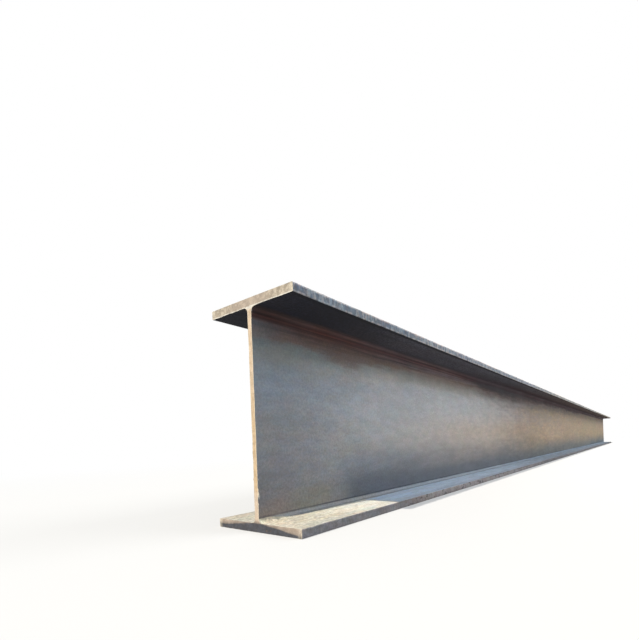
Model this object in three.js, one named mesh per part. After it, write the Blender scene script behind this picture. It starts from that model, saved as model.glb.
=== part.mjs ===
// A straight length of hot-rolled steel H-section, in millimetres, with +Z up.
// It lies along X on the outer face of its lower flange, with its web upright.
// The origin is under the middle of the beam, at the height of that face.

import * as THREE from "three";

const beamLength = 11000; // between the square-cut ends
const sectionHeight = 594; // over the outer faces of both flanges
const flangeWidth = 302; // from tip to tip
const flangeThickness = 23; // the same from web to tip, as the flanges are parallel
const webThickness = 14;
const rootRadius = 13; // hollow where the web meets a flange
const toeRadius = 2.5; // long edges of the flange tips, left by the rolls
const rootSteps = 10; // straight facets round a quarter circle
const toeSteps = 4;

const flangeHalf = flangeWidth / 2;
const webHalf = webThickness / 2;
const underTop = sectionHeight - flangeThickness; // height of the upper flange's inner face
const clearHeight = underTop - flangeThickness; // between the flanges
const overhang = flangeHalf - webHalf; // from the web's face to a tip

// Each radius stays within the walls that it joins.
const toe = Math.min(toeRadius, 0.45 * flangeThickness);
const root = Math.min(rootRadius, 0.45 * clearHeight, 0.9 * (overhang - toe));

// Corners of the H, counter-clockwise, as [across, up, radius, steps].
const corners = [
  [-flangeHalf, 0, toe, toeSteps],
  [flangeHalf, 0, toe, toeSteps],
  [flangeHalf, flangeThickness, toe, toeSteps],
  [webHalf, flangeThickness, root, rootSteps],
  [webHalf, underTop, root, rootSteps],
  [flangeHalf, underTop, toe, toeSteps],
  [flangeHalf, sectionHeight, toe, toeSteps],
  [-flangeHalf, sectionHeight, toe, toeSteps],
  [-flangeHalf, underTop, toe, toeSteps],
  [-webHalf, underTop, root, rootSteps],
  [-webHalf, flangeThickness, root, rootSteps],
  [-flangeHalf, flangeThickness, toe, toeSteps],
];

// The quarter circle that rounds corner i: it starts a radius before the corner and ends a radius after it.
function roundedCorner(i) {
  const [across, up, radius, steps] = corners[i];
  const corner = new THREE.Vector2(across, up);
  const before = new THREE.Vector2(...corners.at(i - 1)).sub(corner).setLength(radius);
  const after = new THREE.Vector2(...corners[(i + 1) % corners.length]).sub(corner).setLength(radius);
  const centre = corner.clone().add(before).add(after);
  return Array.from({ length: steps + 1 }, (_, step) => {
    const turn = (Math.PI / 2) * (step / steps);
    return centre
      .clone()
      .addScaledVector(after, -Math.cos(turn))
      .addScaledVector(before, -Math.sin(turn));
  });
}

const profile = new THREE.Shape(corners.flatMap((_, i) => roundedCorner(i)));

const millScaleSteel = new THREE.MeshStandardMaterial({
  color: 0x8a898a,
  roughness: 0.55,
  metalness: 0.6,
});

const hBeam = new THREE.Mesh(
  new THREE.ExtrudeGeometry(profile, { depth: beamLength, bevelEnabled: false }),
  millScaleSteel,
);
hBeam.name = "h_beam";
hBeam.rotation.set(Math.PI / 2, Math.PI / 2, 0); // the profile's x, y and depth become Y, Z and X
hBeam.position.x = -beamLength / 2;

const beam = new THREE.Group();
beam.add(hBeam);

export default beam;
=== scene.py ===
# A length of hot-rolled steel H-section: rolled faces under mill scale, saw-cut ends, and a plain studio.
import functools
import math
from types import SimpleNamespace

import bpy
import numpy as np
from mathutils import Matrix, Vector


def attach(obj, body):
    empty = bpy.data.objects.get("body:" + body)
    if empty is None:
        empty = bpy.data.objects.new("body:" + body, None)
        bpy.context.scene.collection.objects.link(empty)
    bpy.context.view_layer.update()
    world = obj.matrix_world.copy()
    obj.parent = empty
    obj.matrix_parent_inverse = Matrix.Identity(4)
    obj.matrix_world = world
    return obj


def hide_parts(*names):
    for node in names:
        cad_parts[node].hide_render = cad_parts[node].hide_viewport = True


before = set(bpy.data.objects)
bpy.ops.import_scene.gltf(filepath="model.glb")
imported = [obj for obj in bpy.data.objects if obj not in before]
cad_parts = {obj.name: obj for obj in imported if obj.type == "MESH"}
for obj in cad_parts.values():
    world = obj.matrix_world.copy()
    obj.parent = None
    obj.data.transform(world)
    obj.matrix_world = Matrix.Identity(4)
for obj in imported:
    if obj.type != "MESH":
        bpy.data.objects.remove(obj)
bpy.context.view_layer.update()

# sizes in metres, the same ones as the solid's
beamSize = {
    "length": 11.0,
    "height": 0.594,
    "width": 0.302,
    "flange": 0.023,  # thickness of each flange
    "web": 0.014,  # thickness of the web
    "root": 0.013,  # radius between web and flange
    "toe": 0.0025,  # radius along the flange tips
}

# how finely the surface is divided
beamGrid = {
    "toeSteps": 3,
    "tipSteps": 4,
    "innerSteps": 9,
    "rootSteps": 7,
    "footSteps": 24,  # low on the web, where the burr is
    "footReach": 0.16,
    "webSteps": 28,  # above that
    "acrossWeb": 6,
    # spacing of the cross sections: first behind each cut, then even, then growing up to the middle's
    "cutSteps": [0.0006, 0.0014, 0.003],
    "nearEnd": {"step": 0.005, "count": 89, "growth": 1.04},
    "farEnd": {"step": 0.008, "count": 18, "growth": 1.09},
    "middleStep": 0.06,
}

# unevenness left by rolling, handling and sawing, in metres
beamWear = {
    "webWave": 0.0009,
    "webWavelength": 0.9,
    "webClear": (0.03, 0.15),  # above a flange, where its waves start and are full
    "flangeWave": 0.0006,
    "flangeWavelength": 1.1,
    "flangeClear": 0.03,
    "nick": 0.0016,
    "nickLength": 0.05,
    "nickSquash": 12,  # how many times faster the nicks change up the tip than along it
    "nickSpan": (0.55, 1.25),  # wandering values where a nick starts and is deepest
    "nickEdge": 0.2,  # share of the flange's thickness over which the tip's two edges count as edges
    "nickMiddle": 0.25,  # share of a nick's depth away from them
    "cutWave": 0.0009,
    "cutWavelength": 0.06,
    "cutReach": 0.03,
    "burr": 0.0026,
    "burrReach": (0.005, 0.001),  # behind the cut, where it has ended and is full
    "burrLength": 0.022,
    "burrSpan": (0.55, 1.15),  # wandering values where burr starts and is full
    "fineHeights": (0.04, 0.16),  # between these it is finer
    "fineLength": 0.012,
    "fineSpan": (0.35, 0.85),
    "burrLeast": 0.25,
    "burrPeaks": [(0.105, 0.055, 0.75), (0.568, 0.012, 0.5)],  # height, half width, size
    "rim": 0.004,  # width along tips and outer faces that nicks reach and burr keeps clear of
    "webSlack": 0.001,  # how far off the web or off a flange a point may lie and count as on it
    "flangeSlack": 0.002,
    "seed": 7,
}


# Puts new data into the scene as an object.
def placed(name, data):
    made = bpy.data.objects.new(name, data)
    bpy.context.scene.collection.objects.link(made)
    return made


# Straight line from 0 at low to 1 at high, level beyond them.
def shareOf(value, low, high):
    return np.clip((value - low) / (high - low), 0, 1)


# Smooth wandering value in about -1..1: the sum of cosines with seeded random directions and wavelengths,
# from 0.6 to 1.6 times the given one, divided by 1.6 times the sum's own spread.
def wander(points, wavelength, seed, count=14):
    rng = np.random.default_rng(seed)
    directions = rng.normal(size=(count, points.shape[1]))
    directions /= np.linalg.norm(directions, axis=1)[:, None]
    pull = 2 * np.pi / (wavelength * rng.uniform(0.6, 1.6, (count, 1)))
    phase = rng.uniform(0, 2 * np.pi, count)
    return np.cos(points @ (directions * pull).T + phase).sum(1) / math.sqrt(count / 2) / 1.6


# Quarter circle round a corner: centre plus radius times the cosine and sine of an angle from start to end.
def quarterArc(centre, radius, start, end, steps):
    turn = np.radians(np.linspace(start, end, steps + 1))
    return np.stack([centre[0] + radius * np.cos(turn), centre[1] + radius * np.sin(turn)], 1)


# Right-hand outline of the H as (across, up), from the outer face of the lower flange up to that of the
# upper one: straight runs between quarter circles. Also returns where the lower toe ends in it and the
# lower root starts.
def sideOutline(size, grid):
    half, flange, toe, root = size["width"] / 2, size["flange"], size["toe"], size["root"]
    web = size["web"] / 2
    tipIn = half - toe
    lowTip = np.concatenate([
        quarterArc((tipIn, toe), toe, -90, 0, grid["toeSteps"]),
        np.linspace((half, toe), (half, flange - toe), grid["tipSteps"] + 1)[1:-1],
        quarterArc((tipIn, flange - toe), toe, 0, 90, grid["toeSteps"]),
    ])
    inner = np.linspace((tipIn, flange), (web + root, flange), grid["innerSteps"] + 1)[1:]
    lowRoot = quarterArc((web + root, flange + root), root, 270, 180, grid["rootSteps"])[1:]
    lower = np.concatenate([lowTip, inner, lowRoot])
    footTop, webTop = (web, grid["footReach"]), (web, size["height"] - flange - root)
    foot = np.linspace((web, flange + root), footTop, grid["footSteps"] + 1)[1:]
    up = np.linspace(footTop, webTop, grid["webSteps"] + 1)[1:-1]
    upper = lower[::-1] * (1, -1) + (0, size["height"])
    toeEnd = len(lowTip) - 1
    return np.concatenate([lower, foot, up, upper]), toeEnd, toeEnd + grid["innerSteps"]


# Distances of the cross sections from a cut: the running sum of steps that start short, stay even and then
# grow by a factor until they reach the step of the middle.
def behindCut(grid, end):
    steps = grid["cutSteps"] + [end["step"]] * end["count"]
    while steps[-1] < grid["middleStep"]:
        steps.append(steps[-1] * end["growth"])
    return np.concatenate([[0], np.cumsum(steps)])


# Places of all cross sections along the beam, with even ones between those of the two ends.
def stationPlaces(size, grid):
    near, far = behindCut(grid, grid["nearEnd"]), behindCut(grid, grid["farEnd"])
    gap = size["length"] - near[-1] - far[-1]
    middle = np.linspace(0, gap, int(round(gap / grid["middleStep"])) + 1)[1:-1]
    return np.concatenate([near, near[-1] + middle, (size["length"] - far)[::-1]]) - size["length"] / 2


# The whole beam as one closed surface: the H outline carried along X, and each end filled with three grids
# (flange, web, flange) whose rows run straight across between opposite points of the outline.
def beamSurface(size, grid):
    side, toeEnd, rootStart = sideOutline(size, grid)
    sideLast, across = len(side) - 1, grid["acrossWeb"]
    inner = np.arange(toeEnd + 1, rootStart + 1)
    mirrored = sideLast - inner
    rootLine = np.linspace(-side[rootStart, 0], side[rootStart, 0], across + 1)[1:-1]
    outerRow = np.concatenate([-side[inner, 0], rootLine, side[inner, 0][::-1]])
    outer = np.arange(len(outerRow))
    bottom = np.stack([outerRow, np.zeros(len(outer))], 1)
    top = np.stack([outerRow[::-1], np.full(len(outer), size["height"])], 1)
    loop = np.concatenate([bottom, side, top, (side * (-1, 1))[::-1]])
    places = stationPlaces(size, grid)

    wall = np.empty((len(places), len(loop), 3))
    wall[:, :, 0] = places[:, None]
    wall[:, :, 1:] = loop
    points = [wall.reshape(-1, 3)]
    ring = np.arange(len(loop))
    after = np.roll(ring, -1)
    here = np.arange(len(places) - 1)[:, None] * len(loop)
    there = here + len(loop)
    faces = [np.stack([here + ring, here + after, there + after, there + ring], -1).reshape(-1, 4)]
    slots = [np.zeros(len(faces[0]), int)]

    # adds a row of points to an end and returns their numbers
    def added(place, row, up):
        start = sum(map(len, points))
        points.append(np.stack([np.full(len(row), place), row, np.full(len(row), up)], 1))
        return np.arange(start, start + len(row))

    # one grid: a first and a last row that are already there, and new rows between them
    def filled(place, left, right, low, high, spread, first, last):
        rows = np.arange(low, high + 1)
        new = [added(place, side[row, 0] * spread, side[row, 1]) for row in rows[1:-1]]
        return np.column_stack([left[rows], np.stack([first, *new, last]), right[rows]])

    wide, narrow = outerRow / side[toeEnd, 0], np.linspace(-1, 1, across + 1)[1:-1]
    for station in (0, len(places) - 1):
        place, base = places[station], station * len(loop)
        right = base + len(outer) + np.arange(len(side))
        left = base + len(loop) - 1 - np.arange(len(side))
        webLow = added(place, rootLine, size["flange"])
        webHigh = added(place, rootLine, size["height"] - size["flange"])
        lowRow = np.concatenate([left[inner], webLow, right[inner][::-1]])
        highRow = np.concatenate([left[mirrored], webHigh, right[mirrored][::-1]])
        topRow = (right[-1] + 1 + outer)[::-1]
        for index in (
            filled(place, left, right, 0, toeEnd, wide, base + outer, lowRow),
            filled(place, left, right, rootStart, sideLast - rootStart, narrow, webLow, webHigh),
            filled(place, left, right, sideLast - toeEnd, sideLast, wide, highRow, topRow),
        ):
            corners = [index[:-1, :-1], index[:-1, 1:], index[1:, 1:], index[1:, :-1]]
            quads = np.stack(corners, -1).reshape(-1, 4)
            faces.append(quads if station else quads[:, ::-1])
            slots.append(np.ones(len(quads), int))
    return np.concatenate(points), np.concatenate(faces), np.concatenate(slots), loop, places


# Rolling, handling and saw marks, all kept inside the section's box. The web and flanges are shifted by
# slow wandering values, tips are dented where a quick one passes a limit, and cut ends are pushed in by one
# that fades behind the cut. Burr stands out along the cut edges of web, roots and inner faces. Also returns
# the burr's share of its greatest size at each point of the walls.
def wearSurface(points, loop, places, size, wear):
    worn = points.copy()
    x, y, z = points.T
    half, height, flange = size["width"] / 2, size["height"], size["flange"]
    side, depth, fromFace = np.abs(y), size["length"] / 2 - np.abs(x), np.minimum(z, height - z)

    def waves(coordinates, wavelength, number):
        return wander(coordinates, wear[wavelength], wear["seed"] + number)

    clear = shareOf(fromFace, *(flange + reach for reach in wear["webClear"]))
    sideways = clear * wear["webWave"] * waves(points[:, ::2], "webWavelength", 0)
    worn[:, 1] += np.where(side < size["web"] / 2 + wear["webSlack"], sideways, 0)

    sway = shareOf(waves(points[:, :2], "flangeWavelength", 1), -1, 1) * wear["flangeWave"]
    lean = shareOf(side, wear["flangeClear"], half) ** 2 * sway * np.where(z < height / 2, 1, -1)
    worn[:, 2] += np.where(fromFace < flange + wear["flangeSlack"], lean, 0)

    nick = shareOf(waves(np.stack([x, wear["nickSquash"] * z], 1), "nickLength", 2), *wear["nickSpan"])
    thick = fromFace / flange
    edge = np.clip(1 - np.abs(thick - np.round(thick)) / wear["nickEdge"], 0, 1)
    nick *= wear["nickMiddle"] + (1 - wear["nickMiddle"]) * edge
    worn[:, 1] -= np.sign(y) * shareOf(side, half - wear["rim"], half) * nick * wear["nick"]

    push = shareOf(waves(points[:, 1:], "cutWavelength", 3), -1, 1) * wear["cutWave"]
    worn[:, 0] -= np.sign(x) * push * shareOf(depth, wear["cutReach"], 0)

    wall = len(loop) * len(places)
    z, depth = z[:wall], depth[:wall]
    coarse = shareOf(waves(points[:wall], "burrLength", 4), *wear["burrSpan"])
    fine = shareOf(waves(points[:wall], "fineLength", 5), *wear["fineSpan"])
    low, high = wear["fineHeights"]
    lip = np.where((z > low) & (z < high), fine, coarse) * shareOf(depth, *wear["burrReach"])
    peaks = [most * np.exp(-(((z - at) / wide) ** 2)) for at, wide, most in wear["burrPeaks"]]
    lip *= wear["burrLeast"] + sum(peaks)
    # the way out from the outline, and none along the tips and outer faces
    along = np.roll(loop, -1, 0) - np.roll(loop, 1, 0)
    away = np.stack([along[:, 1], -along[:, 0]], 1) / np.linalg.norm(along, axis=1)[:, None]
    inside = np.abs(loop[:, 0]) < half - wear["rim"]
    inside &= (loop[:, 1] > wear["rim"]) & (loop[:, 1] < height - wear["rim"])
    worn[:wall, 1:] += np.tile(away * inside[:, None], (len(places), 1)) * lip[:, None] * wear["burr"]
    return worn, lip


# Puts points and four-sided faces into a mesh object with smooth shading and sharp cut edges.
def makeMesh(name, points, faces, slots, materials, sharpAngle=40):
    mesh = bpy.data.meshes.new(name)
    mesh.vertices.add(len(points))
    mesh.vertices.foreach_set("co", points.astype(np.float32).ravel())
    mesh.loops.add(faces.size)
    mesh.loops.foreach_set("vertex_index", faces.astype(np.int32).ravel())
    mesh.polygons.add(len(faces))
    mesh.polygons.foreach_set("loop_start", np.arange(0, faces.size, 4, dtype=np.int32))
    mesh.polygons.foreach_set("material_index", slots.astype(np.int32))
    mesh.polygons.foreach_set("use_smooth", np.ones(len(faces), bool))
    mesh.update(calc_edges=True)
    mesh.validate()
    mesh.set_sharp_from_angle(angle=math.radians(sharpAngle))
    for material in materials:
        mesh.materials.append(material)
    return placed(name, mesh)


# A value at each point of a mesh: the given ones on the walls, 0 on the new points of the ends.
def pointValues(mesh, name, onWalls):
    values = np.zeros(len(mesh.vertices))
    values[:len(onWalls)] = onWalls
    mesh.attributes.new(name, "FLOAT", "POINT").data.foreach_set("value", values)


# how the surface is laid out flat for baked textures: numbers are shares of the sheet, except for the reach
flatSheet = {
    "nearReach": 3.4,  # the first metres have a wider strip, so finer texture
    "nearStrip": (0.008, 0.558),
    "farStrip": (0.570, 0.862),
    "endStrip": (0.874, 0.992),
    "endWidth": 0.49,
    "farEndFrom": 0.51,
    "margin": 0.006,
}


# Lays the surface flat in two strips: across the sheet is the way along the beam, up it the way round the
# outline, the sum of its edges' lengths. The cut ends lie side by side above them, their height across it.
def layFlat(points, faces, loop, places, size, sheet):
    edges = np.linalg.norm(np.roll(loop, -1, 0) - loop, axis=1)
    roundShare = np.concatenate([[0], np.cumsum(edges)]) / edges.sum()
    fromStart = places + size["length"] / 2
    split = fromStart[np.searchsorted(fromStart, sheet["nearReach"])]
    wallCount = (len(places) - 1) * len(loop)
    station, ring = np.divmod(np.arange(wallCount), len(loop))
    start, end = fromStart[station], fromStart[station + 1]
    near = end <= split
    origin, reach = np.where(near, 0, split), np.where(near, split, size["length"] - split)
    low = np.where(near, sheet["nearStrip"][0], sheet["farStrip"][0])
    tall = np.where(near, np.ptp(sheet["nearStrip"]), np.ptp(sheet["farStrip"]))
    left, right = (start - origin) / reach, (end - origin) / reach
    bottom, top = low + tall * roundShare[ring], low + tall * roundShare[ring + 1]
    flat = np.empty((len(faces), 4, 2))
    flat[:wallCount, :, 0] = np.stack([left, left, right, right], 1)
    flat[:wallCount, :, 1] = np.stack([bottom, top, top, bottom], 1)
    x, y, z = np.moveaxis(points[faces[wallCount:]], -1, 0)
    farEnd = x[:, :1] > 0
    flat[wallCount:, :, 0] = sheet["endWidth"] * z / size["height"]
    flat[wallCount:, :, 0] += np.where(farEnd, sheet["farEndFrom"], 0)
    flat[wallCount:, :, 1] = sheet["endStrip"][0] + np.ptp(sheet["endStrip"]) * (y / size["width"] + 0.5)
    flat[:, :, 0] = sheet["margin"] + (1 - 2 * sheet["margin"]) * flat[:, :, 0]
    return flat


points, faces, slots, loop, places = beamSurface(beamSize, beamGrid)
points, lip = wearSurface(points, loop, places, beamSize, beamWear)
print("surface:", len(points), "points,", len(faces), "faces,", len(places), "stations,", len(loop), "round")


# Short ways to add nodes to one tree: each returns the output socket of what it adds.
class NodeDesk:
    def __init__(self, tree):
        self.tree = tree

    def node(self, kind, inputs=None, **settings):
        made = self.tree.nodes.new("ShaderNode" + kind)
        for name, value in settings.items():
            setattr(made, name, value)
        for key, value in (inputs or {}).items():
            self.feed(made.inputs[key], value)
        return made

    def feed(self, socket, value):
        if isinstance(value, bpy.types.NodeSocket):
            self.tree.links.new(value, socket)
        else:
            socket.default_value = value

    def math(self, operation, a, b=0.0, c=0.0):
        return self.node("Math", {0: a, 1: b, 2: c}, operation=operation).outputs[0]

    def fold(self, operation, values):
        return functools.reduce(lambda a, b: self.math(operation, a, b), values)

    def add(self, *values):
        return self.fold("ADD", values)

    def both(self, *values):
        return self.fold("MULTIPLY", values)

    def most(self, *values):
        return self.fold("MAXIMUM", values)

    def less(self, a, b):
        return self.math("SUBTRACT", a, b)

    # 0 below low, 1 above high and smooth between, or the other way round where low is above high
    def step(self, value, low, high, toLow=0.0, toHigh=1.0, smooth="SMOOTHSTEP"):
        if low > high:
            low, high, toLow, toHigh = high, low, toHigh, toLow
        inputs = {"Value": value, "From Min": low, "From Max": high, "To Min": toLow, "To Max": toHigh}
        return self.node("MapRange", inputs, interpolation_type=smooth).outputs["Result"]

    # a noise's usual range turned into so much either way of nothing
    def swing(self, noise, reach):
        return self.step(noise, 0.3, 0.7, -reach, reach)

    # one, and so many times what a noise is over a half
    def wave(self, noise, amount):
        return self.math("MULTIPLY_ADD", self.less(noise, 0.5), amount, 1.0)

    def noise(self, place, scale, detail, roughness, squeeze=None, shift=(0, 0, 0), distortion=0.0):
        if squeeze:
            place = self.node("Mapping", {"Vector": place, "Scale": squeeze, "Location": shift}).outputs[0]
        inputs = {"Vector": place, "Scale": scale, "Detail": detail, "Roughness": roughness}
        return self.node("TexNoise", {**inputs, "Distortion": distortion}).outputs["Fac"]

    # a point's own coordinates, and the value there of each noise in a table
    def places(self, noises):
        place = self.node("TexCoord").outputs["Object"]
        axes = self.node("SeparateXYZ", {0: place}).outputs
        values = {name: self.noise(place, *settings) for name, settings in noises.items()}
        return SimpleNamespace(along=axes[0], across=axes[1], up=axes[2], **values)

    def mix(self, share, a, b, blend="MIX"):
        made = self.node("Mix", data_type="RGBA", blend_type=blend)
        for key, value in ((0, share), (6, a), (7, b)):
            if isinstance(value, tuple) and len(value) == 3:
                value = (*value, 1)
            self.feed(made.inputs[key], value)
        return made.outputs[2]

    # colour by distance: stops are (metres, colour) pairs in rising order
    def ramp(self, value, stops):
        first, last = stops[0][0], stops[-1][0]
        made = self.node("ValToRGB", {0: self.step(value, first, last, smooth="LINEAR")})
        elements = made.color_ramp.elements
        elements.remove(elements[1])
        for number, (at, colour) in enumerate(stops):
            place = (at - first) / (last - first)
            element = elements[0] if number == 0 else elements.new(place)
            element.position, element.color = place, (*colour, 1)
        return made.outputs["Color"]

    # multiplies a colour by a grey value
    def shade(self, colour, value):
        grey = self.node("CombineColor", {0: value, 1: value, 2: value}).outputs[0]
        return self.mix(1.0, colour, grey, "MULTIPLY")

    # two numbers are where a fade starts and is full, and a third is what it has before its start; four are
    # where it starts, is full, is still full and has ended
    def fade(self, value, start, full, *more):
        if len(more) < 2:
            return self.step(value, start, full, *more)
        return self.both(self.step(value, start, full), self.step(value, more[1], more[0]))

    # sum of values, each times its weight
    def blend(self, at, weights):
        return self.add(*(self.both(getattr(at, name), weight) for name, weight in weights.items()))

    # product of a greatest share, of shares worked out beforehand (by) and of the fades named
    def share(self, at, most=1.0, by="", **fades):
        parts = [getattr(at, name) for name in by.split()]
        for name, fade in fades.items():
            for edges in fade if isinstance(fade, list) else [fade]:
                parts.append(self.fade(getattr(at, name), *edges))
        if most != 1.0 or not parts:
            parts.append(most)
        return self.both(*parts)

    # a tone is a colour, the name of one worked out beforehand, or a list: a tone and what is laid over it
    def paint(self, at, tone):
        if isinstance(tone, str):
            return getattr(at, tone)
        if isinstance(tone, tuple):
            return tone
        colour = self.paint(at, tone[0])
        for lay in tone[1:]:
            colour = lay(self, at, colour)
        return colour

    def bump(self, height, distance, strength, under=None):
        inputs = {"Height": height, "Distance": distance, "Strength": strength}
        if under is not None:
            inputs["Normal"] = under
        return self.node("Bump", inputs).outputs["Normal"]


# What can be laid over a colour: a layer of another tone, a tint that the colour is multiplied by, or a
# shade, which multiplies it by a value or by a step of it. The desk's share says how far a layer or tint
# goes.
def layer(tone, most=1.0, by="", blend="MIX", **fades):
    def lay(desk, at, colour):
        return desk.mix(desk.share(at, most, by, **fades), colour, desk.paint(at, tone), blend)
    return lay


def tint(tone, most=1.0, by="", **fades):
    return layer(tone, most, by, "MULTIPLY", **fades)


def shade(name, *edges):
    def lay(desk, at, colour):
        value = getattr(at, name)
        return desk.shade(colour, desk.step(value, *edges) if edges else value)
    return lay


def newMaterial(name):
    material = bpy.data.materials.new(name)
    material.use_nodes = True
    return material, NodeDesk(material.node_tree), material.node_tree.nodes["Principled BSDF"]


# Gives a shader the look's painted colour, a roughness and the look's bumps, one over another.
def feedShader(desk, shader, at, look, roughness):
    normal = None
    for name, (distance, strength) in look["bumps"].items():
        normal = desk.bump(getattr(at, name), distance, strength, normal)
    desk.feed(shader.inputs["Base Color"], desk.paint(at, look["colour"]))
    desk.feed(shader.inputs["Roughness"], roughness)
    desk.feed(shader.inputs["Normal"], normal)


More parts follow.
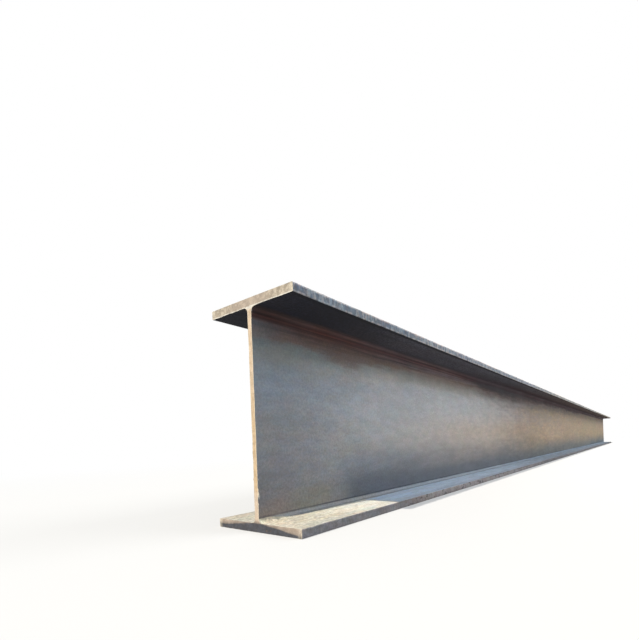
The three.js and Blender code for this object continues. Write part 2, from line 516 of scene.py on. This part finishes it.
# Mill scale and what lies on it. Colours are linear and places are in metres: out from the near end and
# toEnd to the far one, up from the floor, side from the web's face, below and above from the flanges' inner
# faces, fromTop from the top, topRound and lowRound round the roots, and pastHem beyond the reddish film's
# hem.
scaleLook = {
    # scale, detail, roughness, squeeze along each axis, shift, distortion
    "noises": {
        "clouds": (7.0, 4, 0.60, (0.45, 1, 1), (0, 0, 0), 0.3),
        "longClouds": (7.0, 3, 0.55, (0.11, 1, 1), (1, 6, 2), 0.2),
        "patches": (4.5, 3, 0.60, (0.30, 1, 1), (7, 3, 5)),
        "blots": (26.0, 4, 0.62, (0.55, 1, 1), (3, 1, 7)),
        "wisps": (42.0, 4, 0.66, (0.16, 1, 1), (5, 2, 1)),
        "strands": (50.0, 4, 0.66, (0.30, 1, 1), (4, 8, 2)),
        "drawn": (170.0, 2, 0.60, (0.02, 1, 1)),
        "mottle": (75.0, 4, 0.70, (0.60, 1, 1)),
        "speck": (130.0, 3, 0.70),
        "grain": (420.0, 3, 0.65),
        "sway": (1.4, 2, 0.55, (1, 0, 0)),
        "broken": (48.0, 3, 0.70, (0.25, 0, 0), (8, 0, 0)),
        "dustSpots": (62.0, 4, 0.68),
        "dustBlots": (33.0, 3, 0.60),
        "flakes": (88.0, 3, 0.75, (0.70, 1, 1), (2, 6, 3)),
        "bars": (90.0, 3, 0.65, (1, 1, 0.22), (2, 3, 1)),
        "chips": (42.0, 3, 0.70, (1, 1, 0.50), (6, 2, 3)),
        "dents": (58.0, 3, 0.60, (0.60, 1, 1), (9, 1, 4)),
        "tipPatches": (72.0, 2, 0.70, (1, 1, 0.60), (3, 7, 1)),
        "warmth": (17.0, 6, 0.88, (0.45, 1, 1), (2, 7, 3)),
        "greenness": (20.0, 6, 0.92, (0.45, 1, 1), (6, 4, 9)),
    },
    # drawn lines: colours by the distance round the upper root, from the flange's inner face down the web
    "rootLines": [
        (-0.034, (0.045, 0.042, 0.048)), (-0.018, (0.058, 0.044, 0.047)), (-0.005, (0.080, 0.052, 0.052)),
        (0.003, (0.130, 0.068, 0.062)), (0.008, (0.094, 0.050, 0.048)), (0.013, (0.090, 0.038, 0.036)),
        (0.018, (0.162, 0.080, 0.070)), (0.023, (0.098, 0.053, 0.050)), (0.030, (0.166, 0.098, 0.087)),
        (0.037, (0.143, 0.090, 0.082)), (0.060, (0.236, 0.165, 0.148)), (0.085, (0.305, 0.245, 0.225)),
        (0.110, (0.350, 0.318, 0.300)),
    ],
    "rootSway": 0.0022,  # how far the lines wander
    "drawnDepth": (0.075, 0.030, 0.25, 1.8),  # how strongly they vary along them, by distance round the root
    "middle": (0.28, 0.30),  # heights over which the low tip's look gives way to the high tip's
    # the far tan is partly the scale's colour and partly a painted reflection of the low, bright sky
    "far": dict(most=0.95, out=(1.35, 3.3), wisps=(0.3, 0.62, 0.85)),  # tan of the far web
    "bandSway": 0.020,
    # the film: how far it reaches below the upper flange, how its hem wanders with the long clouds and the
    # wisps, and by how much less it reaches along parts of the beam
    "hem": 0.112,
    "hemSway": (0.024, 0.010),
    "hemRises": [
        (0.016, (0.25, 0.7, 1.4, 2.2)), (-0.026, (1.4, 2.4, 2.4, 3.4)), (0.011, (1.3, 0.8)),
        (0.052, (2.6, 7.5)), (0.044, (7.0, 9.5)),
    ],
    "lobe": dict(out=[(0.22, 0.41), (0.56, 0.43, 0.3), (1.0, 0.7)]),  # where a lobe of it hangs down
    "lobeDrop": 0.038,
    "softHem": dict(pastHem=(0, -0.055)),
    "sharpHem": dict(pastHem=(-0.014, -0.042)),
    "sharper": dict(out=(0.9, 0.5)),  # where the hem is the sharp one
    "filmStart": dict(out=(0.0, 0.20, 0.55)),
    "filmTop": dict(below=(0.045, 0.022)),  # full here, whatever the hem does
    "haze": dict(most=0.34, pastHem=(0.022, -0.030)),
    "fringe": dict(by="haze", out=(0.30, 0.70, 0.3)),
    "fringeLess": dict(most=0.3, by="haze lobe"),
    # inner face of the upper flange, painted dark for the shade under it, with a dark edge and a paler strip
    # beside it
    "under": dict(below=(0.004, 0.001), side=(0.010, 0.030, 0.1425, 0.1432)),
    "darkEdge": dict(most=0.66, side=(0.126, 0.133), out=(0.10, 0.90, 0.35 / 0.66)),
    "paleStrip": dict(most=0.20, out=(0.35, 0.60), side=(0.095, 0.115, 0.124, 0.130)),
    # lower flange's upper face, and the beam's top
    "shelf": dict(above=(0.0125, 0.0110), up=(0.012, 0.020)),
    "roof": dict(fromTop=(0.0012, 0.0004)),
    "roofMost": 0.9,
    "scuffRise": 4.0,  # how much likelier scuffs get per metre towards the tip
    # dust: in front of the web up to an edge that wanders, set where the key's shadow falls, so that its
    # cream there is partly painted sunlight; behind it and on the top by patches
    "dustSway": 0.012,
    "sunlitDust": dict(dustSunEdge=(0.492, 0.462), across=(0.0, -0.001)),
    "patchy": (0.36, 0.64, -0.9, 0.9),
    "behind": dict(dustPatch=(1.7, 0.6), across=(0.0, 0.001)),
    # the dust's edge by the root slants with the web's shadow: painted light and shade
    "dustShadeSlant": (0.035, 0.150, 0.0120, -0.0100),  # its edge by the root, at two distances from the near end
    "offRoot": dict(by="shelf", dustShadeFoot=(0.0018, -0.0018)),
    "onRoof": dict(most=0.75, by="roof", dustPatch=(2.2, -0.6), mottle=(0.36, 0.60, 0.25)),
    "flakeDepth": (0.36, 0.60, -0.26, 0.14),
    "flakeFade": (0.14, 0.30, 1.0, 0.45),
    # fine unevenness: weights of noises, and how strongly others vary
    "dapple": {"strands": 0.6, "blots": 0.4},
    "grit": {"grain": 0.4, "speck": 0.6},
    "lowGrain": dict(most=0.35, up=(0.150, 0.100), side=(0.02, 0.01)),
    "streakDepth": (1.0, 3.0, 0.102, 1.19),
    "bumps": {"speck": (0.0007, 0.5), "grain": (0.0002, 0.5)},  # height in metres, strength
    "roughness": 0.54,
    "cloudRoughness": 0.05,
    "speckRoughness": (0.3, 0.7, -0.05, 0.06),
    "underRoughness": 0.25,
    "filmRoughness": 0.20,  # added where the film or dust is, and less by haze and the far tan
    "hazeRough": 0.6,
    "farRough": 0.7,
    "ior": 1.5,
    "colour": [
        # the web's grey lightens along the beam and turns tan far out: partly the scale's colour, partly
        # painted sheen
        (0.236, 0.264, 0.306),  # by the near end, high on the web
        layer((0.240, 0.243, 0.262), up=(0.38, 0.26)),
        layer((0.420, 0.428, 0.452), out=(0.05, 0.62)),
        layer((0.480, 0.475, 0.480), out=(0.70, 1.25)),
        layer((0.505, 0.418, 0.352), up=(0.40, 0.25), out=(0.4, 1.6)),
        layer((0.318, 0.218, 0.122), by="far"),
        layer((0.355, 0.228, 0.158), 0.55, by="far", patches=(0.50, 0.64)),
        layer((0.280, 0.232, 0.134), 0.45, by="far", patches=(0.48, 0.36)),
        # soft tints over stretches of the web
        tint((0.985, 1.010, 1.085), out=(2.5, 3.1, 4.4, 5.2), up=(0.18, 0.24, 0.40, 0.46)),
        tint((1.110, 1.100, 1.090), out=(0.4, 1.0, 1.6, 2.1), up=(0.36, 0.42, 0.45, 0.50)),
        tint((1.130, 1.120, 1.080), out=(3.3, 3.9, 4.3, 5.2), up=(0.13, 0.20, 0.28, 0.36)),
        tint((0.975, 0.982, 1.070), out=(2.0, 2.5, 3.5, 4.2), up=(0.28, 0.36, 0.47, 0.50)),
        tint((1.000, 0.975, 0.925), out=(0.25, 0.40, 0.7, 1.1), up=(0.14, 0.20, 0.26, 0.32)),
        tint((1.180, 1.150, 1.090), out=(0.08, 0.22, 0.60, 0.95), up=(0.405, 0.445)),
        tint((0.970, 0.970, 0.905), out=(5.2, 7.4), up=(0.46, 0.40)),
        # low on the web: a slow fall to a bluish band and a dark foot far out, both a painted reflection of
        # the shaded floor and flange, and an olive film by the near end
        layer([(0.070, 0.082, 0.104), layer((0.078, 0.092, 0.094), out=(1.8, 4.0))], 0.94,
              ragged=(0.250, 0.055), out=[(0.26, 0.44, 0.42 / 0.94), (6.0, 1.5, 0.92)]),
        layer((0.070, 0.088, 0.100), 0.85, ragged=(0.092, 0.050), out=(6.6, 8.6)),
        layer([(0.180, 0.172, 0.155), layer((0.196, 0.166, 0.166), 0.9, out=(0.16, 0.04))], 0.9,
              ragged=(0.120, 0.070), out=(0.44, 0.26)),
        # high on the web: the fringe of the film, mauve and greenish stretches
        layer((0.190, 0.172, 0.140), by="fringe"),
        layer((0.200, 0.152, 0.152), 0.50, out=(1.9, 2.7, 4.2, 6.5), pastHem=(0.053, -0.042)),
        layer((0.275, 0.283, 0.262), 0.6, out=(0.75, 0.10), below=(0.035, 0.060, 0.085, 0.190)),
        # the film: drawn lines, thinner, deeper, redder and greyer in places
        layer([
            "lines",
            tint((1.62, 1.82, 1.87), out=(0.30, 1.3, 1.6, 1.95), topRound=(0.008, 0.035)),
            tint((0.55, 0.55, 0.55), out=(1.5, 2.1), topRound=(0.075, 0.020)),
            tint((0.90, 0.90, 0.90), by="lobe", topRound=(0.055, 0.085)),
            tint((0.45, 0.45, 0.45), out=(0.30, 0.03), topRound=(0.030, 0.010)),
            tint((0.970, 0.840, 0.850), out=(0.75, 0.25), topRound=(0.045, 0.020)),
            tint((0.990, 1.060, 1.170), out=(0.40, 0.65), topRound=(0.050, 0.035)),
        ], by="film"),
        # brown haze and a stain below the lines, a darker upper root, and painted shade in the crease of the
        # lower one
        tint((1.045, 0.985, 0.905), out=(0.45, 0.75, 1.6, 2.0), below=(0.040, 0.060, 0.100, 0.135)),
        layer((0.060, 0.056, 0.064), 0.75, pastHem=(-0.038, -0.088), out=(1.45, 1.85, 2.2, 3.6)),
        tint((0.800, 0.480, 0.600), topRound=(0.027, 0.017), out=(1.3, 1.9)),
        # painted shade: a dark line along the web's foot, in the crease of the lower root
        layer((0.026, 0.031, 0.043), above=(0.0105, 0.0120, 0.0155, 0.0172), side=(0.004, 0.002),
              out=(0.02, 0.50, 0.45), broken=(0.34, 0.56, 0.45)),
        # inner face of the upper flange: partly its darker scale, partly painted shade under the flange
        layer([
            (0.015, 0.015, 0.025),
            layer((0.085, 0.080, 0.096), out=(0.15, 0.85)),
            layer((0.092, 0.064, 0.060), out=(1.9, 4.6)),
            layer((0.044, 0.014, 0.019), side=(0.090, 0.020), out=(1.0, 3.0)),
            shade("clouds", 0.3, 0.7, 0.85, 1.15),
            shade("speck", 0.3, 0.7, 0.6, 1.4),
            shade("innerEdge"),
        ], by="under"),
        # lower flange's upper face: pale blue as a painted reflection of skylight, with painted shade in its
        # root;
        # and the beam's top
        layer([
            (0.522, 0.628, 0.755),
            layer((0.180, 0.218, 0.266), 0.88, out=(0.8, 3.7)),
            layer([
                (0.205, 0.222, 0.245),
                layer((0.225, 0.195, 0.165), 0.8, clouds=(0.44, 0.60)),
            ], by="roof"),
            shade("wisps", 0.3, 0.7, 0.92, 1.07),
            shade("mottle", 0.3, 0.7, 0.93, 1.07),
            # the lower root's rounding, darker and greyer than the face: painted shade in the corner
            layer([
                (0.212, 0.222, 0.232),
                layer((0.205, 0.235, 0.272), out=(0.45, 0.80)),
                layer((0.150, 0.190, 0.240), out=(0.8, 3.6)),
            ], by="offRoof", lowRound=(-0.0165, -0.0100)),
            layer((0.150, 0.140, 0.150), 0.32, side=(0.095, 0.135)),
            layer((0.150, 0.140, 0.150), 0.8, scuffs=(1.04, 1.16), longClouds=(0.46, 0.60)),
        ], by="lying"),
        # dust on both: in front of the web partly painted sunlight, cream up to where the key's shadow falls
        layer([
            (0.512, 0.484, 0.394),
            layer((0.630, 0.622, 0.556), out=(0.10, 0.36)),
            layer((0.370, 0.335, 0.265), 0.8, dustSpots=(0.49, 0.64), out=(0.40, 0.12, 0.45 / 0.8)),
            layer((0.460, 0.360, 0.280), 0.5, dustBlots=(0.56, 0.72)),
            layer((0.330, 0.285, 0.255), 0.256, side=(0.095, 0.135)),
            shade("flaking"),
        ], by="dusted"),
        # flange tips: the lower one warm and pitted, the upper one flecked, with paler edges of worn metal,
        # the top edge also a painted highlight
        layer([
            (0.205, 0.192, 0.202),
            layer((0.160, 0.188, 0.228), by="high"),
            shade("mottle", 0.3, 0.7, 0.78, 1.22),
            layer((0.420, 0.360, 0.350), 0.7, by="low", out=(0.35, 0.8, 1.5, 3.4)),
            tint((0.50, 0.50, 0.50), by="low", out=(1.0, 3.4)),
            layer((0.400, 0.420, 0.425), 0.75, bars=(0.50, 0.57), up=(0.30, 0.32, 0.2)),
            layer((0.560, 0.530, 0.520), 0.75, fromTop=(0.0170, 0.0205, 0.05, 0.1),
                  chips=(0.42, 0.56, 0.05 / 0.75)),
            # the upper tip's top edge: worn metal, partly a painted highlight where its rounding faces the
            # light
            layer((0.560, 0.530, 0.520), fromTop=(0.0070, 0.0030), chips=(0.38, 0.50, 0.1)),
            layer((0.165, 0.150, 0.115), 0.85, by="high", out=(6.0, 9.8)),
            layer((0.180, 0.130, 0.118), 0.5, by="low", out=(0.42, 0.54), chips=(0.47, 0.60)),
            layer((0.060, 0.046, 0.050), 0.85, by="low", out=(0.42, 0.54), dents=(0.57, 0.63)),
            layer((0.060, 0.046, 0.050), 0.85, by="low", out=(0.42, 0.54), up=(0.0165, 0.0200),
                  longClouds=(0.47, 0.55)),
            tint([(0.910, 1.020, 1.130), layer((1.070, 0.975, 0.980), tipPatches=(0.38, 0.62))], by="high"),
            tint([(1.250, 1.180, 1.110), layer((1.330, 1.180, 0.960), out=(2.4, 3.6))], by="high",
                 out=(0.50, 0.70)),
        ], side=(0.1420, 0.1432)),
        # rust by the far corners, and bright burr
        layer((0.200, 0.120, 0.080), 0.75, toEnd=(0.30, 0.06), side=(0.08, 0.13),
              mottle=(0.34, 0.56, 0.35 / 0.75)),
        layer((0.850, 0.810, 0.730), burr=(0.05, 0.4)),
        # fine unevenness all over
        shade("dapple", 0.36, 0.64, 0.912, 1.092),
        shade("grit", 0.32, 0.68, 0.80, 1.20),
        shade("lowGrain"),
        shade("streaks"),
        tint([(0.950, 1.005, 1.065), layer((1.060, 0.995, 0.930), warmth=(0.38, 0.62))],
             out=(1.1, 0.25, 0.45)),
        tint([(1.020, 0.976, 1.015), layer((0.980, 1.024, 0.985), greenness=(0.38, 0.62))]),
    ],
}


# Adds the distances that the look names, the parts of the tips and the far tan to the places.
def scalePlaces(desk, at, look, size):
    at.out = desk.add(at.along, size["length"] / 2)
    at.toEnd = desk.less(size["length"] / 2, at.along)
    at.side = desk.less(desk.math("ABSOLUTE", at.across), size["web"] / 2)
    at.below = desk.less(size["height"] - size["flange"], at.up)
    at.above = desk.less(at.up, size["flange"])
    at.fromTop = desk.less(size["height"], at.up)
    at.topRound = desk.add(desk.less(at.below, at.side), desk.swing(at.sway, look["rootSway"]))
    at.lowRound = desk.less(at.above, at.side)
    at.high = desk.step(at.up, *look["middle"])
    at.low = desk.less(1.0, at.high)
    at.ragged = desk.add(at.up, desk.swing(at.longClouds, look["bandSway"]))
    at.far = desk.share(at, **look["far"])


# The film round the upper root. Its hem wanders, rises and falls along the beam and is soft, but sharper by
# the near end, where a lobe hangs down; a thin haze lies below it. Lines are drawn in it along the beam.
def filmPlaces(desk, at, look):
    cloudSway, wispSway = look["hemSway"]
    at.lobe = desk.share(at, **look["lobe"])
    at.pastHem = desk.add(at.below, -look["hem"], desk.swing(at.longClouds, cloudSway))
    at.pastHem = desk.add(at.pastHem, desk.swing(at.wisps, wispSway), desk.both(at.lobe, -look["lobeDrop"]))
    for rise, edges in look["hemRises"]:
        at.pastHem = desk.math("MULTIPLY_ADD", desk.fade(at.out, *edges), rise, at.pastHem)
    soft, sharp, sharper, start, top = (
        desk.share(at, **look[name]) for name in ("softHem", "sharpHem", "sharper", "filmStart", "filmTop")
    )
    film = desk.math("MULTIPLY_ADD", desk.less(sharp, soft), sharper, soft)
    at.film = desk.most(desk.both(film, start), top)
    at.haze = desk.share(at, **look["haze"])
    at.fringe = desk.less(desk.share(at, **look["fringe"]), desk.share(at, **look["fringeLess"]))
    drawn = desk.wave(at.drawn, desk.step(at.topRound, *look["drawnDepth"]))
    at.lines = desk.shade(desk.ramp(at.topRound, look["rootLines"]), drawn)


# The flanges' inner faces, the top and the dust on them, which in front of the web is partly painted
# sunlight.
def flangePlaces(desk, at, look):
    at.under = desk.share(at, **look["under"])
    darkEdge, paleStrip = desk.share(at, **look["darkEdge"]), desk.share(at, **look["paleStrip"])
    at.innerEdge = desk.add(desk.less(1.0, darkEdge), paleStrip)
    at.shelf = desk.share(at, **look["shelf"])
    at.roof = desk.share(at, **look["roof"])
    at.offRoof = desk.less(1.0, at.roof)
    at.lying = desk.most(at.shelf, desk.both(at.roof, look["roofMost"]))
    at.scuffs = desk.math("MULTIPLY_ADD", at.side, look["scuffRise"], at.mottle)

    # in front of the web the dust ends where the key's shadow falls: partly a painted patch of sunlight
    at.dustSunEdge = desk.add(at.out, desk.swing(at.blots, look["dustSway"]))
    at.dustPatch = desk.add(at.out, desk.step(at.clouds, *look["patchy"]))
    at.dustShadeFoot = desk.less(at.lowRound, desk.step(at.out, *look["dustShadeSlant"], "LINEAR"))
    sunlitDust, behind, offRoot, onRoof = (
        desk.share(at, **look[name]) for name in ("sunlitDust", "behind", "offRoot", "onRoof")
    )
    at.dusted = desk.most(desk.both(desk.most(sunlitDust, behind), offRoot), onRoof)
    flakes = desk.both(desk.step(at.flakes, *look["flakeDepth"]), desk.step(at.out, *look["flakeFade"]))
    at.flaking = desk.add(flakes, 1.0)


# Mill scale in layers: a grey that warms along the beam, partly painted sheen; a dark band low on the web,
# a painted reflection of shade; a reddish film with drawn lines round the upper root that ends in a soft
# ragged hem; a dark underside, partly painted shade; a lower flange painted pale blue with skylight and
# cream with dust and sunlight, with painted shade in its root; and flecked tips.
def millScale(look, size):
    material, desk, shader = newMaterial("mill scale")
    at = desk.places(look["noises"])
    scalePlaces(desk, at, look, size)
    filmPlaces(desk, at, look)
    flangePlaces(desk, at, look)
    at.burr = desk.node("Attribute", attribute_name="burr").outputs["Fac"]
    at.dapple = desk.blend(at, look["dapple"])
    at.grit = desk.blend(at, look["grit"])
    at.lowGrain = desk.wave(at.speck, desk.share(at, **look["lowGrain"]))
    at.streaks = desk.wave(at.wisps, desk.step(at.out, *look["streakDepth"]))
    haze, far = desk.both(at.haze, look["hazeRough"]), desk.both(at.far, look["farRough"])
    roughness = desk.add(
        look["roughness"],
        desk.swing(at.clouds, look["cloudRoughness"]),
        desk.step(at.speck, *look["speckRoughness"]),
        desk.both(at.under, look["underRoughness"]),
        desk.both(desk.most(at.film, haze, far, at.dusted), look["filmRoughness"]),
    )
    feedShader(desk, shader, at, look, roughness)
    shader.inputs["IOR"].default_value = look["ior"]
    return material


# The sawn ends, with the same kinds of place; aside is the distance from the middle plane, and overShadow
# that above the upper edge of the painted shadow low on the cut.
cutLook = {
    "noises": {
        "fleck": (95.0, 4, 0.68),
        "patch": (42.0, 4, 0.62),
        "streaks": (260.0, 3, 0.60, (1, 1, 0.12), (2, 0, 0)),
        "lines": (300.0, 3, 0.60, (1, 0.15, 1), (1, 4, 0)),
        "ragged": (16.0, 3, 0.60),
        "rust": (90.0, 3, 0.60),
    },
    "webFade": 0.012,  # over which the flanges' tone turns into the web's
    # upper edge of the painted cast shadow low on the cut: its rise from one tip to the web, its fall behind
    # the web, and how far it wanders
    "grimeRise": (-0.151, -0.020, 0.0050, 0.0235),
    "grimeFall": (0.0, 0.150, 0, 0.012),
    "grimeSway": 0.0013,
    "grime": dict(most=0.93, overShadow=(0.0030, -0.0030)),
    "grimeHaze": dict(most=0.34, overShadow=(0.0110, 0)),
    "relief": {"fleck": 1.0, "lines": 0.8},
    "bumps": {"relief": (0.0006, 0.6)},
    "roughness": 0.66,
    "fleckRoughness": 0.1,
    "colour": [
        # flanges: greyer, stained at the top, with a pale lip and a painted cast shadow low along the floor
        (0.380, 0.318, 0.240),
        layer((0.540, 0.470, 0.370), fleck=(0.42, 0.62)),
        layer((0.200, 0.180, 0.160), 0.7, patch=(0.54, 0.70), up=(0.3, 0.5, 0.3)),
        layer((0.455, 0.370, 0.295), 0.7, up=(0.4, 0.5), aside=(0.110, 0.030)),
        layer((0.450, 0.350, 0.280), 0.7, up=(0.5, 0.4)),
        layer((0.720, 0.680, 0.600), fromTop=(0.0195, 0.0220), up=(0.4, 0.5), fleck=(0.36, 0.50, 0.3)),
        # painted cast shadow, dark slate, low on the flanges' cut faces
        layer([(0.034, 0.042, 0.058), shade("fleck", 0.3, 0.7, 0.7, 1.3)], by="grime"),
        # web: smooth tan
        layer([
            (0.565, 0.415, 0.265),
            layer((0.710, 0.570, 0.425), streaks=(0.35, 0.65)),
            layer((0.710, 0.570, 0.425), 0.45, across=(-0.0015, -0.0055)),
            layer((0.585, 0.410, 0.215), 0.5, up=(0.075, 0.120, 0.26, 0.42)),
            layer((0.640, 0.520, 0.410), 0.7, up=(0.115, 0.085)),
        ], by="inWeb"),
        # rust spots, and the pale rim: a painted highlight along the cut's edges
        layer((0.420, 0.250, 0.130), 0.35, rust=(0.60, 0.72)),
        layer((0.660, 0.590, 0.470), 0.9, by="rim", fleck=(0.35, 0.6, 0.3 / 0.9)),
        shade("fleck", 0.3, 0.7, 0.86, 1.12),
    ],
}


# Sawn end: smooth tan on the web, greyer and stained on the flanges, with faint saw lines, a paler rim that
# is a painted highlight and a painted cast shadow low on the flanges.
def sawCut(look, size):
    material, desk, shader = newMaterial("saw cut")
    at = desk.places(look["noises"])
    at.aside = desk.math("ABSOLUTE", at.across)
    at.fromTop = desk.less(size["height"], at.up)
    # rim is 1 along the cut's edges, where a highlight is painted
    at.rim = desk.node("Attribute", attribute_name="rim").outputs["Fac"]
    webEdge = (size["flange"], size["flange"] + look["webFade"])
    at.inWeb = desk.share(at, up=webEdge, fromTop=webEdge)
    # the painted shadow's upper edge: rising from one tip to the web, falling behind it, wandering a little
    grimeTop = desk.step(at.across, *look["grimeRise"], "LINEAR")
    grimeTop = desk.less(grimeTop, desk.step(at.across, *look["grimeFall"]))
    grimeTop = desk.add(grimeTop, desk.swing(at.ragged, look["grimeSway"]))
    at.overShadow = desk.less(at.up, grimeTop)
    at.grime = desk.most(desk.share(at, **look["grime"]), desk.share(at, **look["grimeHaze"]))
    at.relief = desk.blend(at, look["relief"])
    roughness = desk.add(look["roughness"], desk.swing(at.fleck, look["fleckRoughness"]))
    feedShader(desk, shader, at, look, roughness)
    return material


scaleSteel = millScale(scaleLook, beamSize)
cutSteel = sawCut(cutLook, beamSize)
print("materials ready")

beam = makeMesh("rolled_beam", points, faces, slots, [scaleSteel, cutSteel])
flat = layFlat(points, faces, loop, places, beamSize, flatSheet)
beam.data.uv_layers.new(name="OFBake").data.foreach_set("uv", flat.astype(np.float32).ravel())
# rim: 1 on the walls and 0 inside the cut faces, for the cut edges' painted highlight
pointValues(beam.data, "rim", np.ones(len(lip)))
pointValues(beam.data, "burr", lip)
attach(beam, "root")
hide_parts("h_beam")
print("beam dressed")

# the view from beside the near end; the roll is that of a camera held slightly off level
viewPoint = {
    "place": (-6.1909, -0.7692, 0.2163),
    "heading": 38.87,  # degrees from +X towards +Y
    "roll": -2.1741,
    "lens": 22.719,
    "sensor": 36,
    "shiftUp": 0.19457,
    "clip": (0.01, 500),
}


# Camera axes: forward lies level at the heading; right and up are the level ones turned round it by the
# roll.
def placeCamera(view):
    heading, roll = math.radians(view["heading"]), math.radians(view["roll"])
    forward = Vector((math.cos(heading), math.sin(heading), 0))
    level = Vector((math.sin(heading), -math.cos(heading), 0))
    plumb = Vector((0, 0, 1))
    right = level * math.cos(roll) + plumb * math.sin(roll)
    up = plumb * math.cos(roll) - level * math.sin(roll)
    data = bpy.data.cameras.new("camera")
    data.lens, data.sensor_width, data.shift_y = view["lens"], view["sensor"], view["shiftUp"]
    data.clip_start, data.clip_end = view["clip"]
    camera = placed("camera", data)
    turned = Matrix((right, up, -forward)).transposed().to_4x4()
    camera.matrix_world = Matrix.Translation(view["place"]) @ turned
    bpy.context.scene.camera = camera


placeCamera(viewPoint)

# a warm key high behind the near end, a long soft panel high in front of the web, a bluish surround and a
# floor
studio = {
    "keyPlace": (-6, 1, 6),
    "keyWay": (0.6464, -0.0420, -0.7627),
    "keyPower": 4.2,
    "keyAngle": 0.9,
    "keyColour": (1.0, 0.93, 0.82),
    "panelSize": (13.0, 3.0),
    "panelPlace": (2.5, -4.2, 4.5),
    "panelAim": 0.3,  # height over the beam's line that it faces
    "panelPower": 400.0,
    "surround": 0.55,
    "surroundColour": (0.80, 0.90, 1.0),
    "white": (1.0, 1.0, 1.0),
    "floorReach": 90.0,
    "floorSides": 96,
    "floorLit": 0.2,  # share of light that the floor sends back to the beam
    "floorSeen": 0.62,
    "floorGloss": 0.60,  # how much of that brightness reflections take up
    "floorGlow": 0.30,  # share of the floor's seen colour that shadows don't reach
    "floorFade": (0.3, 5.0),  # distances from the beam over which it turns white
}


def placeLamp(name, data, place, way):
    lamp = placed(name, data)
    lamp.location = place
    lamp.rotation_mode = "QUATERNION"
    lamp.rotation_quaternion = Vector(way).to_track_quat("-Z", "Y")
    return lamp


# 1 for what the camera sees straight or through glass, and the same with gloss for what is seen in
# reflections.
def seenShares(desk, gloss):
    ray = desk.node("LightPath").outputs
    seen = desk.most(ray["Is Camera Ray"], ray["Is Transmission Ray"])
    return seen, desk.most(seen, desk.both(ray["Is Glossy Ray"], gloss))


def lightStudio(look):
    key = bpy.data.lights.new("key", "SUN")
    key.energy, key.angle, key.color = look["keyPower"], math.radians(look["keyAngle"]), look["keyColour"]
    placeLamp("key", key, look["keyPlace"], look["keyWay"])

    panel = bpy.data.lights.new("side panel", "AREA")
    panel.shape = "RECTANGLE"
    panel.size, panel.size_y = look["panelSize"]
    panel.energy = look["panelPower"]
    x, y, z = look["panelPlace"]
    lamp = placeLamp("side panel", panel, look["panelPlace"], (0, -y, look["panelAim"] - z))
    lamp.visible_camera = False

    world = bpy.data.worlds.new("studio")
    bpy.context.scene.world = world
    world.use_nodes = True
    desk = NodeDesk(world.node_tree)
    seen, reflected = seenShares(desk, 1.0)
    surround = world.node_tree.nodes["Background"]
    desk.feed(surround.inputs["Color"], desk.mix(seen, look["surroundColour"], look["white"]))
    desk.feed(surround.inputs["Strength"], desk.step(reflected, 0.0, 1.0, look["surround"], 1.0))


# Pale floor: it bounces little light, and away from the beam it melts into the white surround. The distance
# is that from the beam's box: the root of the summed squares of how far a point lies beyond the end and the
# tips.
def layFloor(look, size):
    sides, reach = look["floorSides"], look["floorReach"]
    turn = np.linspace(0, 2 * np.pi, sides, endpoint=False)
    ring = np.stack([np.cos(turn) * reach, np.sin(turn) * reach, np.zeros(sides)], 1)
    mesh = bpy.data.meshes.new("floor")
    mesh.from_pydata(ring.tolist(), [], [tuple(range(sides))])
    floor = placed("floor", mesh)
    material, desk, shader = newMaterial("pale floor")
    seen = seenShares(desk, look["floorGloss"])[1]
    desk.feed(shader.inputs["Base Color"], desk.mix(seen, (look["floorLit"],) * 3, (look["floorSeen"],) * 3))
    shader.inputs["Roughness"].default_value = 1.0
    shader.inputs["Specular IOR Level"].default_value = 0.0
    at = desk.places({})
    squares = []
    for axis, half in ((at.along, size["length"] / 2), (at.across, size["width"] / 2)):
        beyond = desk.most(desk.less(desk.math("ABSOLUTE", axis), half), 0.0)
        squares.append(desk.both(beyond, beyond))
    distance = desk.math("SQRT", desk.add(*squares))
    white = desk.node("Emission", {"Color": (*look["white"], 1)}).outputs[0]
    fade = desk.both(desk.step(distance, *look["floorFade"], look["floorGlow"], 1.0), seen)
    blended = desk.node("MixShader", {0: fade, 1: shader.outputs[0], 2: white}).outputs[0]
    output = next(n for n in material.node_tree.nodes if n.type == "OUTPUT_MATERIAL")
    desk.feed(output.inputs["Surface"], blended)
    mesh.materials.append(material)


lightStudio(studio)
layFloor(studio, beamSize)
bpy.context.scene.view_settings.view_transform = "Standard"
print("studio ready")
